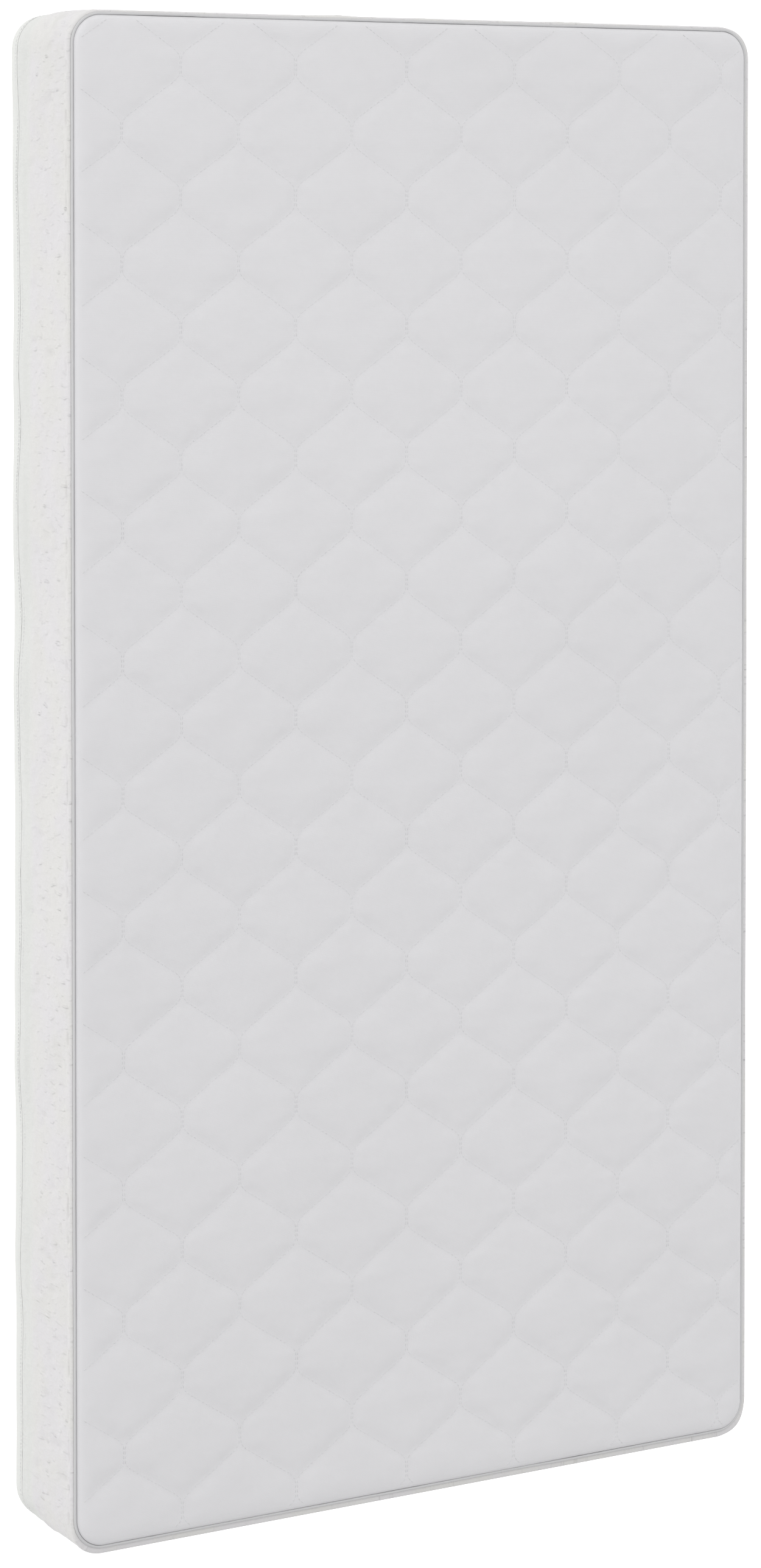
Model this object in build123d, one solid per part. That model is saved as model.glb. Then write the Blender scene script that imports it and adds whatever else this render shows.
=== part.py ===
from build123d import *
import os

# Memory foam cot mattress lying flat, in millimetres. X is its width, Y its length with the head at +Y,
# Z is up through the quilted sleeping face. The origin is the middle of the underside.
# It comes apart in three: a zip-off upper cover, a bare foam core, and a base cover.

# Overall size
width = 700.0
length = 1320.0
height = 127.0
corner_radius = 30.0  # in plan, at the fullest part of the border

# Thicknesses of the layers, from the underside up
base_fabric = 1.2
base_wadding = 2.0
base_membrane = 0.4
body_gap = 0.3  # between two bodies that come apart
support_foam = 75.0
glue_film = 0.5
memory_foam = 38.0
fire_barrier = 1.0
quilt_knit = 1.2

# How far each wall reaches out from the line that joins the corner centres
core_reach = 22.3  # sides of the foam
barrier_reach = 22.7  # inner face of the border
tape_reach = 24.7  # middle of the zip's tape
hem_reach = 27.6  # outer face of both covers beside the zip
seam_reach = 26.5  # middle of the piping
panel_reach = 25.2  # edge of the quilted panel
border_barrier = 0.5
hem_knit = 0.8
border_knit = 1.2

# Zip, a concealed coil one that runs all round
zip_height = 22.0
slit = 1.4  # between the two hems
coil_tall = 1.7
coil_deep = 1.6
tape_wide = 11.6
tape_thick = 0.5

# Slider, its crown and its pull
park_y = -600.0
slider_long = 9.0
slider_front = 7.2
slider_rear = 5.8
plate = 0.7
coil_room = 0.3
flange = 0.8
crown_thick = 0.8
crown_radius = 1.1
crown_long = 5.0
pivot_reach = 28.8
pin_radius = 0.5
pin_room = 0.08
pull_wide = 6.0
pull_thick = 1.2
pull_long = 22.0
cheek_wide = 1.4

# Piping between the quilted panel and the border
piping_radius = 1.2
piping_cord_radius = 0.7

# Blank care label, folded into the zip's hem at the foot end
label_wide = 45.0
label_tall = 17.0
label_thick = 0.3
label_x = 140.0

core_x = width / 2 - corner_radius
core_y = length / 2 - corner_radius

# Heights of the layers
wadding_top = base_fabric + base_wadding
membrane_top = wadding_top + base_membrane
support_bottom = membrane_top + body_gap
support_top = support_bottom + support_foam
memory_bottom = support_top + glue_film
memory_top = memory_bottom + memory_foam
panel_bottom = memory_top + body_gap
fill_bottom = panel_bottom + fire_barrier
hem_low = zip_height - slit / 2
hem_high = zip_height + slit / 2
seam_height = height - 5.3


def carried(section):
    """A section, drawn as (reach, height), carried round the plan: four straight runs and four quarter turns."""
    face = Plane.XZ * section
    around = []
    for turn in range(4):
        out, along = (core_x, core_y) if turn % 2 == 0 else (core_y, core_x)
        run = extrude(Pos(out, -along, 0) * face, amount=2 * along, dir=(0, 1, 0))
        bend = Pos(out, along, 0) * revolve(face, Axis.Z, revolution_arc=90)
        around += [Rot(0, 0, 90 * turn) * run, Rot(0, 0, 90 * turn) * bend]
    return around[0] + around[1:]


def wall(inner, outer, low, high):
    """A plain upright wall all the way round."""
    return carried(Pos((inner + outer) / 2, (low + high) / 2) * Rectangle(outer - inner, high - low))


def outline(*points):
    """A closed section through the points given."""
    return Polygon(*points, align=None)


def slab(section, low, high):
    """A layer whose edge has the section given and whose middle is flat between two heights."""
    middle = Pos(0, 0, (low + high) / 2) * Box(2 * core_x, 2 * core_y, high - low)
    return carried(section) + middle


def layer(reach, low, high):
    """A flat layer with upright edges."""
    return slab(outline((0, low), (reach, low), (reach, high), (0, high)), low, high)


def save(shape, node):
    """One file for each node."""
    shape.label = node
    export_step(shape, f"parts/{node}.step")


# --- Base cover ---


def make_base_panel():
    return layer(20.0, 0, base_fabric)


def make_base_band():
    """The strip that turns up from the underside and ends in the lower hem of the zip."""
    inside = hem_reach - hem_knit
    return carried(
        outline(
            (20.0, 0), (25.2, 2.2), (hem_reach, 7.5), (hem_reach, hem_low),
            (inside, hem_low), (inside, 7.8), (24.4, 3.2), (20.0, base_fabric),
        )
    )


def make_base_wadding():
    """A flat pad whose edge turns up inside the band, as far as the slider's path."""
    inside, back, top = hem_reach - hem_knit - 0.1, tape_reach + tape_thick / 2, 17.6
    edge = outline(
        (0, base_fabric), (19.9, base_fabric), (24.3, 3.3), (inside, 7.9), (inside, top),
        (back, top), (back, 8.0), (22.6, wadding_top), (0, wadding_top),
    )
    return slab(edge, base_fabric, wadding_top)


def coil(low):
    return wall(tape_reach - coil_deep / 2, tape_reach + coil_deep / 2, low, low + coil_tall)


def tape(low):
    return wall(tape_reach - tape_thick / 2, tape_reach + tape_thick / 2, low, low + tape_wide)


def make_zip_stop():
    """A crimp round the lower coil, just behind the parked slider."""
    room, skin, thick = 0.02, 0.22, 2.0
    middle = Pos(core_x + tape_reach, park_y - slider_long / 2 - thick, hem_low - coil_tall / 2)
    crimp = Box(coil_deep + 2 * skin, thick, coil_tall + 2 * skin)
    bore = Box(coil_deep + 2 * room, thick + 1, coil_tall + 2 * room)
    tail = Pos(0, 0, -coil_tall) * Box(tape_thick + 2 * room, thick + 1, coil_tall)
    return middle * (crimp - bore - tail)


def make_care_label():
    middle = (label_x, -core_y - hem_reach - 0.05 - label_thick / 2, hem_low - 0.3 - label_tall / 2)
    return Pos(*middle) * Box(label_wide, label_thick, label_tall)


# --- Upper cover ---


def crown_line(drop):
    """The quilted panel's top edge, rolling down from the flat middle to the seam."""
    return [(6.0, height - drop), (18.0, height - 1.6 - drop), (panel_reach, height - 4.8 - drop)]


def make_quilt_face():
    top, under = crown_line(0), crown_line(quilt_knit)
    edge = outline((0, height), *top, *reversed(under), (0, height - quilt_knit))
    return slab(edge, height - quilt_knit, height)


def make_quilt_fill():
    under = crown_line(quilt_knit)
    edge = outline((0, height - quilt_knit), *under, (panel_reach, fill_bottom), (0, fill_bottom))
    return slab(edge, fill_bottom, height - quilt_knit)


def make_piping_cord():
    return carried(Pos(seam_reach, seam_height) * Circle(piping_cord_radius))


def make_piping_cover():
    """A bias strip round the cord, with its seam allowance hanging inside the border."""
    round_cord = Pos(seam_reach, seam_height) * (Circle(piping_radius) - Circle(piping_cord_radius))
    tail = Pos(seam_reach, seam_height - 2.9) * Rectangle(0.5, 3.6)
    return carried(round_cord + tail)


def make_border_fabric():
    """The border bulges between the piping and the hem above the zip."""
    inside = hem_reach - hem_knit
    bulge = corner_radius - border_knit
    top = seam_height - piping_radius - 0.2
    return carried(
        outline(
            (inside, hem_high), (hem_reach, hem_high), (hem_reach, 26.5), (corner_radius, 36.0),
            (corner_radius, 106.0), (28.0, top), (27.0, top), (bulge, 105.8), (bulge, 36.2), (inside, 27.6),
        )
    )


def make_border_padding():
    inner, back = barrier_reach + border_barrier, tape_reach + tape_thick / 2
    outer = corner_radius - border_knit - 0.1
    hem = hem_reach - hem_knit - 0.1
    tape_end = hem_high + coil_tall + tape_wide + 0.3
    return carried(
        outline(
            (back, 26.6), (hem, 26.6), (hem, 27.7), (outer, 36.3), (outer, 105.6), (27.1, 117.0),
            (26.2, 117.0), (26.2, panel_bottom), (inner, panel_bottom), (inner, tape_end), (back, tape_end),
        )
    )


def make_border_barrier():
    tape_end = hem_high + coil_tall + tape_wide + 0.3
    return wall(barrier_reach, barrier_reach + border_barrier, tape_end, panel_bottom)


def make_upper_coil():
    """The upper coil stops short on both sides of the parked slider, so that the covers part there."""
    opening = Pos(core_x + tape_reach, park_y, zip_height) * Box(10, slider_long + 6, 10)
    return coil(hem_high) - opening


# --- Zip slider and pull ---


def slider_plate(low, high):
    """One of the slider's two plates, wider at its front, between two reaches."""
    front, rear, half = slider_front / 2, slider_rear / 2, slider_long / 2
    shape = Polygon((-half, -rear), (half, -front), (half, front), (-half, rear), align=None)
    face = Plane((low, 0, 0), x_dir=(0, 1, 0), z_dir=(1, 0, 0)) * shape
    return extrude(face, amount=high - low)


def make_slider_body():
    """Two plates joined by a post between the coils, with flanges that leave a slot for each tape."""
    coil_in, coil_out = tape_reach - coil_deep / 2 - coil_room, tape_reach + coil_deep / 2 + coil_room
    slot = tape_thick / 2 + coil_room
    body = slider_plate(coil_in - plate, coil_in) + slider_plate(coil_out, coil_out + plate)
    post = Pos(tape_reach, slider_long / 4, 0) * Box(coil_out - coil_in, slider_long / 3, crown_thick)
    body += post
    for side in (-1, 1):
        for low, high in ((coil_in, tape_reach - slot), (tape_reach + slot, coil_out)):
            across = side * (slider_front - flange) / 2
            lip = Pos((low + high) / 2, slider_long / 4, across) * Box(high - low, slider_long / 2, flange)
            body += lip
    return Pos(core_x, park_y, zip_height) * body


def make_slider_crown():
    """The neck that stands out through the slit, with the eye for the pull's pin."""
    root = tape_reach + coil_deep / 2 + coil_room + plate
    neck = Pos((root + pivot_reach) / 2, 0, 0) * Box(pivot_reach - root, 2 * crown_radius, crown_thick)
    foot = Pos(root + 0.4, 0, 0) * Box(0.8, crown_long, crown_thick)
    eye = Pos(pivot_reach, 0, 0) * Cylinder(crown_radius, crown_thick)
    bore = Pos(pivot_reach, 0, 0) * Cylinder(pin_radius + pin_room, 2 * crown_thick)
    return Pos(core_x, park_y, zip_height) * (neck + foot + eye - bore)


def make_pull_tab():
    """A fork on a pin through the crown, and a flat tab that lies back along the zip."""
    fork = crown_thick + 0.6 + 2 * cheek_wide
    pin = Cylinder(pin_radius, fork)
    start = crown_radius + 0.5
    tab = Pos(0, -start - pull_long / 2, 0) * Box(pull_thick, pull_long, pull_wide)
    tab = fillet(tab.edges().filter_by(Axis.X).group_by(Axis.Y)[0], pull_wide / 2 - 0.1)
    for side in (-1, 1):
        z = side * (fork - cheek_wide) / 2
        arm = Pos(0, -start / 2 - 0.25, z) * Box(pull_thick, start + 0.5, cheek_wide)
        knuckle = Pos(0, 0, z) * Cylinder(pull_thick / 2, cheek_wide)
        tab += arm + knuckle
    return Pos(core_x + pivot_reach, park_y, zip_height) * (tab + pin)


os.makedirs("parts", exist_ok=True)

save(make_base_panel(), "base_panel")
save(make_base_band(), "base_band")
save(make_base_wadding(), "base_wadding")
save(layer(22.4, wadding_top, membrane_top), "base_membrane")
save(tape(hem_low - coil_tall - tape_wide), "zip_tape_lower")
save(coil(hem_low - coil_tall), "zip_coil_lower")
save(make_zip_stop(), "zip_stop")
save(make_care_label(), "care_label")

save(layer(core_reach, support_bottom, support_top), "support_foam")
save(layer(core_reach, support_top, memory_bottom), "glue_film")
save(layer(core_reach, memory_bottom, memory_top), "memory_foam")

save(layer(panel_reach, panel_bottom, fill_bottom), "quilt_barrier")
save(make_quilt_fill(), "quilt_fill")
save(make_quilt_face(), "quilt_face")
save(make_piping_cord(), "piping_cord")
save(make_piping_cover(), "piping_cover")
save(make_border_fabric(), "border_fabric")
save(make_border_padding(), "border_padding")
save(make_border_barrier(), "border_barrier")
save(tape(hem_high + coil_tall), "zip_tape_upper")
save(make_upper_coil(), "zip_coil_upper")

save(make_slider_body(), "slider_body")
save(make_slider_crown(), "slider_crown")
save(make_pull_tab(), "pull_tab")
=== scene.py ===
import math

import bmesh
import bpy
import numpy as np
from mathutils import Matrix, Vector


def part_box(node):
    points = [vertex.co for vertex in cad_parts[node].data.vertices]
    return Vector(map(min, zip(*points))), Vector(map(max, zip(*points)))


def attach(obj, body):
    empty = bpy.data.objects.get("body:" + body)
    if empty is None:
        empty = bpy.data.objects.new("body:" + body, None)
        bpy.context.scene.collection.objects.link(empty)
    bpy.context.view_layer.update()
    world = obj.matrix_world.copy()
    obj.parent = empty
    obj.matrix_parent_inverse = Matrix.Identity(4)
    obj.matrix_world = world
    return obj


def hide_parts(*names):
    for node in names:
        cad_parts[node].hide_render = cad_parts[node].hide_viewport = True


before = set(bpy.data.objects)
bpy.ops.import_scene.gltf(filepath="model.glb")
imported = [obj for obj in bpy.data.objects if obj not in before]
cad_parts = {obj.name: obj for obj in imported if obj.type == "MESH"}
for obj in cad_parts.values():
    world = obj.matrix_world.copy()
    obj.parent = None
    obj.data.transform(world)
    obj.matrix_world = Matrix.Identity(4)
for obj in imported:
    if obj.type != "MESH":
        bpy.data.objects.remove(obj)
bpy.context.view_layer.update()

mm = 0.001

# everything is carried round a rectangle of corner centres
plan = {"cornerRadius": 30 * mm, "measureAt": 28 * mm}
hair = 0.05 * mm    # the smallest step in a profile
borderLow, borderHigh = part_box("border_fabric")
coreX = borderHigh.x - plan["cornerRadius"]
coreY = borderHigh.y - plan["cornerRadius"]


def reachOf(node):
    # how far a node's outer face stands out from the line of corner centres
    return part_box(node)[1].x - coreX


def smoothStep(x, low, high):
    # 0 below low, 1 above high, and an S curve between them
    t = np.clip((x - low) / (high - low), 0, 1)
    return t * t * (3 - 2 * t)


def waves(u, v, longest, shortest, count, seed, stretch=1.0):
    # soft random relief: cosine waves of random direction, phase and length, added up to about -1 to 1
    rng = np.random.default_rng(seed)
    total = np.zeros(np.broadcast(u, v).shape)
    for angle, phase, pick in zip(rng.uniform(0, math.pi, count), rng.uniform(0, 2 * math.pi, count),
                                  rng.uniform(0, 1, count)):
        size = shortest * (longest / shortest) ** pick
        turn = 2 * math.pi / size
        total += np.cos(turn * (u * math.cos(angle) / stretch + v * math.sin(angle)) + phase)
    return total / math.sqrt(count)


def inMm(*points):
    # points of a profile given in millimetres
    return [(reach * mm, height * mm) for reach, height in points]


def runAlong(points):
    # the length run so far at each point of a line
    return np.concatenate([[0], np.cumsum(np.linalg.norm(np.diff(points, axis=0), axis=1))])


def pointsAt(points, run, at):
    # the places on a line at the lengths asked for
    return np.stack([np.interp(at, run, values) for values in points.T], -1)


def unit(vectors):
    return vectors / np.linalg.norm(vectors, axis=1)[:, None]


def times(factors, vectors):
    # every vector multiplied by each factor in turn
    return factors[None, :, None] * vectors[:, None, :]


def newObject(name, data):
    # an object in the scene, at the origin
    thing = bpy.data.objects.new(name, data)
    bpy.context.scene.collection.objects.link(thing)
    return thing


def meshObject(name, points, quads, caps=(), uvs=None):
    # one mesh from an array of points, an array of quads and a few larger faces
    mesh = bpy.data.meshes.new(name)
    corners = np.concatenate([quads.ravel(), *[np.asarray(c) for c in caps]]).astype(np.int32)
    capStarts = quads.size + np.cumsum([0] + [len(c) for c in caps])[:-1]
    starts = np.concatenate([np.arange(len(quads)) * 4, capStarts])
    mesh.vertices.add(len(points))
    mesh.vertices.foreach_set("co", points.astype(np.float32).ravel())
    mesh.loops.add(len(corners))
    mesh.loops.foreach_set("vertex_index", corners)
    mesh.polygons.add(len(starts))
    mesh.polygons.foreach_set("loop_start", starts.astype(np.int32))
    if uvs is not None:
        flat = np.zeros((len(corners), 2), np.float32)
        flat[:quads.size] = uvs.reshape(-1, 2)
        mesh.uv_layers.new(name="UVMap").data.foreach_set("uv", flat.ravel())
    mesh.update(calc_edges=True)
    mesh.validate()
    mesh.polygons.foreach_set("use_smooth", np.ones(len(mesh.polygons), bool))
    return newObject(name, mesh)


def gridQuads(rows, columns, closeRows=False, closeColumns=False, start=0):
    # quads of a grid whose points are stored row by row, joined up at its ends where asked
    i = np.arange(rows if closeRows else rows - 1)
    j = np.arange(columns if closeColumns else columns - 1)
    i, j = np.meshgrid(i, j, indexing="ij")
    nextI, nextJ = (i + 1) % rows, (j + 1) % columns
    quads = np.stack([i * columns + j, nextI * columns + j, nextI * columns + nextJ, i * columns + nextJ], -1)
    return quads.reshape(-1, 4) + start


def drapedGrid(step, reaches):
    # a grid over the whole plan: even in the middle, then a ring for each reach, bent round the corners
    rings = len(reaches)

    def line(core):
        count = int(round(2 * core / step))
        outward = np.arange(1, rings + 1)
        where = np.pad(np.linspace(-core, core, count + 1), rings, mode="edge")
        ring = np.concatenate([-outward[::-1], np.zeros(count + 1, int), outward])
        return where, ring

    (x, a), (y, b) = line(coreX), line(coreY)
    x, y = np.meshgrid(x, y, indexing="ij")
    a, b = np.meshgrid(a, b, indexing="ij")
    sizeA, sizeB = np.abs(a), np.abs(b)
    ring = np.maximum(sizeA, sizeB)
    share = np.minimum(sizeA, sizeB) / np.maximum(ring, 1)
    turn = np.where(sizeB <= sizeA, share, 2 - share) * math.pi / 4
    reach = np.concatenate([[0], reaches])[ring]
    px = x + np.sign(a) * np.cos(turn) * reach * (ring > 0)
    py = y + np.sign(b) * np.sin(turn) * reach * (ring > 0)
    inward = np.minimum(coreX - np.abs(x), coreY - np.abs(y)) * (ring == 0)
    return px, py, ring, inward


def rimOf(shape):
    # the outline of a grid, point by point, seen from below
    rows, columns = shape
    index = np.arange(rows * columns).reshape(shape)
    return np.concatenate([index[0, :-1], index[:-1, -1], index[-1, :0:-1], index[:0:-1, 0]])


def drapedPiece(name, step, profile, relief=None):
    # a plate whose rings follow a profile of (reach, height), closed underneath by one flat face
    reaches, heights = np.array(profile[1:]).T
    px, py, ring, inward = drapedGrid(step, reaches)
    pz = np.concatenate([[profile[0][1]], heights])[ring]
    if relief is not None:
        pz = pz + relief(px, py, ring, inward)
    points = np.stack([px, py, pz], -1).reshape(-1, 3)
    return meshObject(name, points, gridQuads(*px.shape), [rimOf(px.shape)])


def aroundPlan(spacing):
    # columns round the plan: a foot on the line of corner centres, a direction outward, and the length run
    radius = plan["measureAt"]
    feet, ways = [], []
    for turn, (out, along) in enumerate([(coreX, coreY), (coreY, coreX)] * 2):
        straight = np.linspace(-along, along, int(round(2 * along / spacing)), endpoint=False)
        bend = np.linspace(0, math.pi / 2, max(8, int(round(radius * math.pi / 2 / spacing))), endpoint=False)
        fx = np.concatenate([np.full(len(straight), out), np.full(len(bend), out)])
        fy = np.concatenate([straight, np.full(len(bend), along)])
        angle = np.concatenate([np.zeros(len(straight)), bend]) + turn * math.pi / 2
        c, s = math.cos(turn * math.pi / 2), math.sin(turn * math.pi / 2)
        feet.append(np.stack([fx * c - fy * s, fx * s + fy * c], -1))
        ways.append(np.stack([np.cos(angle), np.sin(angle)], -1))
    feet, ways = np.concatenate(feet), np.concatenate(ways)
    return feet, ways, runAlong(feet + radius * ways)


def carriedPiece(name, spacing, profile, relief=None):
    # a closed profile of (reach, height) carried round the plan; its UV map is length run, then way round it
    feet, ways, run = aroundPlan(spacing)
    profile = np.array(profile)
    reach = np.broadcast_to(profile[:, 0], (len(feet), len(profile))).copy()
    height = np.broadcast_to(profile[:, 1], reach.shape).copy()
    girth = runAlong(profile)
    if relief is not None:
        moreReach, moreHeight = relief(run[:, None], girth[None, :], reach, height, feet, ways)
        reach, height = reach + moreReach, height + moreHeight
    points = np.concatenate([feet[:, None, :] + ways[:, None, :] * reach[:, :, None], height[:, :, None]], -1)
    quads = gridQuads(*reach.shape, closeRows=True, closeColumns=True)
    middle = feet + plan["measureAt"] * ways
    runs = np.append(run, run[-1] + np.linalg.norm(middle[0] - middle[-1]))
    girths = np.append(girth, girth[-1] + np.linalg.norm(profile[0] - profile[-1]))
    i, j = np.meshgrid(np.arange(len(feet)), np.arange(len(profile)), indexing="ij")
    i, j = i.ravel(), j.ravel()
    corners = ((i, j), (i + 1, j), (i + 1, j + 1), (i, j + 1))
    uvs = np.stack([np.stack([runs[a], girths[b]], -1) for a, b in corners], 1)
    return meshObject(name, points.reshape(-1, 3), quads, uvs=uvs)


def alongArc(points, count):
    # evenly spaced points on a smooth line through the points given (Catmull-Rom)
    p = np.array([2 * np.array(points[0]) - points[1], *points, 2 * np.array(points[-1]) - points[-2]], float)
    t = np.linspace(0, 1, 24, endpoint=False)[:, None]
    fine = []
    for a, b, c, d in zip(p, p[1:], p[2:], p[3:]):
        bend, twist = 2 * a - 5 * b + 4 * c - d, 3 * b - a - 3 * c + d
        fine.append(0.5 * (2 * b + (c - a) * t + bend * t ** 2 + twist * t ** 3))
    fine = np.concatenate([*fine, p[-2:-1]])
    run = runAlong(fine)
    return pointsAt(fine, run, np.linspace(0, run[-1], count))


camera = newObject("camera", bpy.data.cameras.new("camera"))
bpy.context.scene.camera = camera
viewpoint = {"place": (-1.7834, 0.4896, 3.1347), "tilt": -1.739, "yaw": -29.977, "lens": 90.29,
             "shiftY": -0.29}
camera.location = viewpoint["place"]
camera.rotation_euler = (math.radians(viewpoint["tilt"]), math.radians(viewpoint["yaw"]), 0)
camera.data.sensor_width = 36
camera.data.lens = viewpoint["lens"]
camera.data.shift_y = viewpoint["shiftY"]
camera.data.clip_end = 100


def areaLight(name, place, aim, size, power, colour):
    # a round lamp at a place, turned to face its aim
    lamp = newObject(name, bpy.data.lights.new(name, "AREA"))
    lamp.data.shape = "DISK"
    lamp.data.size = size
    lamp.data.energy = power
    lamp.data.color = colour
    lamp.location = place
    way = np.array(aim) - np.array(place)
    flat = math.hypot(way[0], way[1])
    lamp.rotation_euler = (math.atan2(flat, -way[2]), 0, math.atan2(way[1], way[0]) - math.pi / 2)


studio = {"skyDim": 0.45, "skyBright": 0.96, "skyTowards": (-0.25, 0.72, 0.42), "keyPower": 24,
          "frontPower": 32, "sidePower": 9, "floorGlow": 1.05}
areaLight("keyLight", (-1.6, 2.8, 3.2), (0, 0.2, 0.1), 2.2, studio["keyPower"], (1.0, 0.995, 0.985))
areaLight("frontLight", (-0.3, 0.3, 4.4), (0, 0, 0.1), 3.0, studio["frontPower"], (0.99, 0.995, 1.0))
for side in (-1, 1):
    areaLight("sideLight", (side * 3.2, 0.2, 0.5), (side * 0.3, 0, 0.06), 1.6, studio["sidePower"],
              (1.0, 1.0, 1.0))


class Nodes:
    # short ways to add and join shader nodes in one tree
    def __init__(self, tree):
        self.tree = tree

    def add(self, kind, **settings):
        node = self.tree.nodes.new(kind)
        for key, value in settings.items():
            setattr(node, key, value)
        return node

    def plug(self, value, socket):
        if isinstance(value, bpy.types.NodeSocket):
            self.tree.links.new(value, socket)
        elif value is not None:
            socket.default_value = value

    def sum(self, operation, a, b=None, c=None):
        node = self.add("ShaderNodeMath", operation=operation)
        for value, socket in zip((a, b, c), node.inputs):
            self.plug(value, socket)
        return node.outputs[0]

    def noise(self, vector, scale, detail=2.0, rough=0.5, stretch=0.0):
        node = self.add("ShaderNodeTexNoise")
        for value, socket in ((vector, "Vector"), (scale, "Scale"), (detail, "Detail"), (rough, "Roughness"),
                              (stretch, "Distortion")):
            self.plug(value, node.inputs[socket])
        return node.outputs["Fac"]

    def cells(self, vector, scale, feature="F1", randomness=1.0):
        node = self.add("ShaderNodeTexVoronoi", feature=feature)
        for value, socket in ((vector, "Vector"), (scale, "Scale"), (randomness, "Randomness")):
            self.plug(value, node.inputs[socket])
        return node.outputs["Distance"]

    def scaled(self, vector, scale):
        node = self.add("ShaderNodeMapping")
        self.plug(vector, node.inputs["Vector"])
        node.inputs["Scale"].default_value = scale
        return node.outputs[0]

    def mapped(self, value, fromLow, fromHigh, toLow, toHigh):
        node = self.add("ShaderNodeMapRange")
        for item, socket in zip((value, fromLow, fromHigh, toLow, toHigh), node.inputs):
            self.plug(item, socket)
        return node.outputs[0]

    def split(self, vector):
        node = self.add("ShaderNodeSeparateXYZ")
        self.plug(vector, node.inputs[0])
        return node.outputs

    def bump(self, height, depth, normal=None):
        node = self.add("ShaderNodeBump")
        for value, socket in ((1.0, "Strength"), (depth, "Distance"), (height, "Height"), (normal, "Normal")):
            self.plug(value, node.inputs[socket])
        return node.outputs[0]


def studioSky():
    # a white sky whose brightness grows evenly with the angle towards the head end
    world = bpy.data.worlds.new("studio")
    world.use_nodes = True
    nodes = Nodes(world.node_tree)
    facing = nodes.add("ShaderNodeVectorMath", operation="DOT_PRODUCT")
    nodes.plug(nodes.add("ShaderNodeTexCoord").outputs["Generated"], facing.inputs[0])
    facing.inputs[1].default_value = studio["skyTowards"]
    strength = nodes.mapped(facing.outputs["Value"], -1.0, 1.0, studio["skyDim"], studio["skyBright"])
    nodes.plug(strength, world.node_tree.nodes["Background"].inputs["Strength"])
    world.node_tree.nodes["Background"].inputs["Color"].default_value = (1, 1, 1, 1)
    bpy.context.scene.world = world


studioSky()
bpy.context.scene.view_settings.view_transform = "Standard"
print("camera and light done")

def effectGroup(name, amount, usual, outputs, build):
    # a shared effect: a vector and one amount go in, and named values come out of a small tree
    tree = bpy.data.node_groups.new(name, "ShaderNodeTree")
    tree.interface.new_socket("Vector", in_out="INPUT", socket_type="NodeSocketVector")
    tree.interface.new_socket(amount, in_out="INPUT", socket_type="NodeSocketFloat").default_value = usual
    for label in outputs:
        tree.interface.new_socket(label, in_out="OUTPUT", socket_type="NodeSocketFloat")
    nodes = Nodes(tree)
    source = nodes.add("NodeGroupInput").outputs
    result = nodes.add("NodeGroupOutput").inputs
    for label, value in build(nodes, source).items():
        nodes.plug(value, result[label])
    return tree


def knitTree(nodes, source):
    # jersey knit: upright ribs of V-shaped loops, each V a dip in the row that climbs towards the rib's sides
    place = nodes.split(source["Vector"])
    across = nodes.sum("DIVIDE", place[0], source["Loop"])
    up = nodes.sum("DIVIDE", place[1], nodes.sum("MULTIPLY", source["Loop"], 0.8))
    side = nodes.sum("ABSOLUTE", nodes.sum("SUBTRACT", nodes.sum("FRACT", across), 0.5))
    leg = nodes.sum("SUBTRACT", 1.0, nodes.sum("ABSOLUTE", nodes.sum("MULTIPLY_ADD", side, 4.0, -1.0)))
    row = nodes.sum("SINE", nodes.sum("MULTIPLY", nodes.sum("MULTIPLY_ADD", side, 1.1, up), 2 * math.pi))
    yarn = nodes.sum("MULTIPLY", nodes.sum("MULTIPLY_ADD", row, 0.3, 0.7), nodes.sum("POWER", leg, 0.5))
    height = nodes.sum("MULTIPLY_ADD", nodes.noise(source["Vector"], 2600.0, 1.0), 0.25, yarn)
    return {"Height": height, "Shade": nodes.mapped(yarn, 0.0, 1.0, 0.93, 1.01)}


def weaveTree(nodes, source):
    # plain weave: warp and weft ribs that take turns on top, each a rounded bump
    place = nodes.split(source["Vector"])
    warp, weft = (nodes.sum("MULTIPLY", nodes.sum("DIVIDE", place[k], source["Yarn"]), math.pi)
                  for k in (0, 1))
    over = nodes.sum("MULTIPLY", nodes.sum("SINE", warp), nodes.sum("SINE", weft))
    height = nodes.sum("MULTIPLY_ADD", over, 0.5, 0.5)
    return {"Height": height, "Shade": nodes.mapped(height, 0.0, 1.0, 0.9, 1.0)}


def fibreTree(nodes, source):
    # felt and wadding: two stretched noises crossed at an angle, over a coarser clumping
    vector, size = source["Vector"], source["Size"]
    first, second = (nodes.noise(nodes.scaled(vector, scale), nodes.sum("DIVIDE", 3.0, size), 3.0, 0.6, bent)
                     for scale, bent in (((1.0, 0.16, 1.0), 0.4), ((0.16, 1.0, 1.0), 0.5)))
    clump = nodes.noise(vector, nodes.sum("DIVIDE", 0.3, size), 2.0)
    height = nodes.sum("MULTIPLY_ADD", clump, 0.6, nodes.sum("MAXIMUM", first, second))
    return {"Height": height, "Shade": nodes.mapped(height, 0.5, 1.2, 0.93, 1.02)}


def foamTree(nodes, source):
    # cut foam: open cells of two sizes, as pits with thin walls between them
    large = nodes.cells(source["Vector"], nodes.sum("DIVIDE", 1.0, source["Cell"]))
    small = nodes.cells(source["Vector"], nodes.sum("DIVIDE", 2.7, source["Cell"]))
    height = nodes.sum("MULTIPLY_ADD", small, 0.5, nodes.sum("POWER", large, 0.7))
    return {"Height": height, "Shade": nodes.mapped(height, 0.0, 1.1, 0.86, 1.03)}


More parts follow.
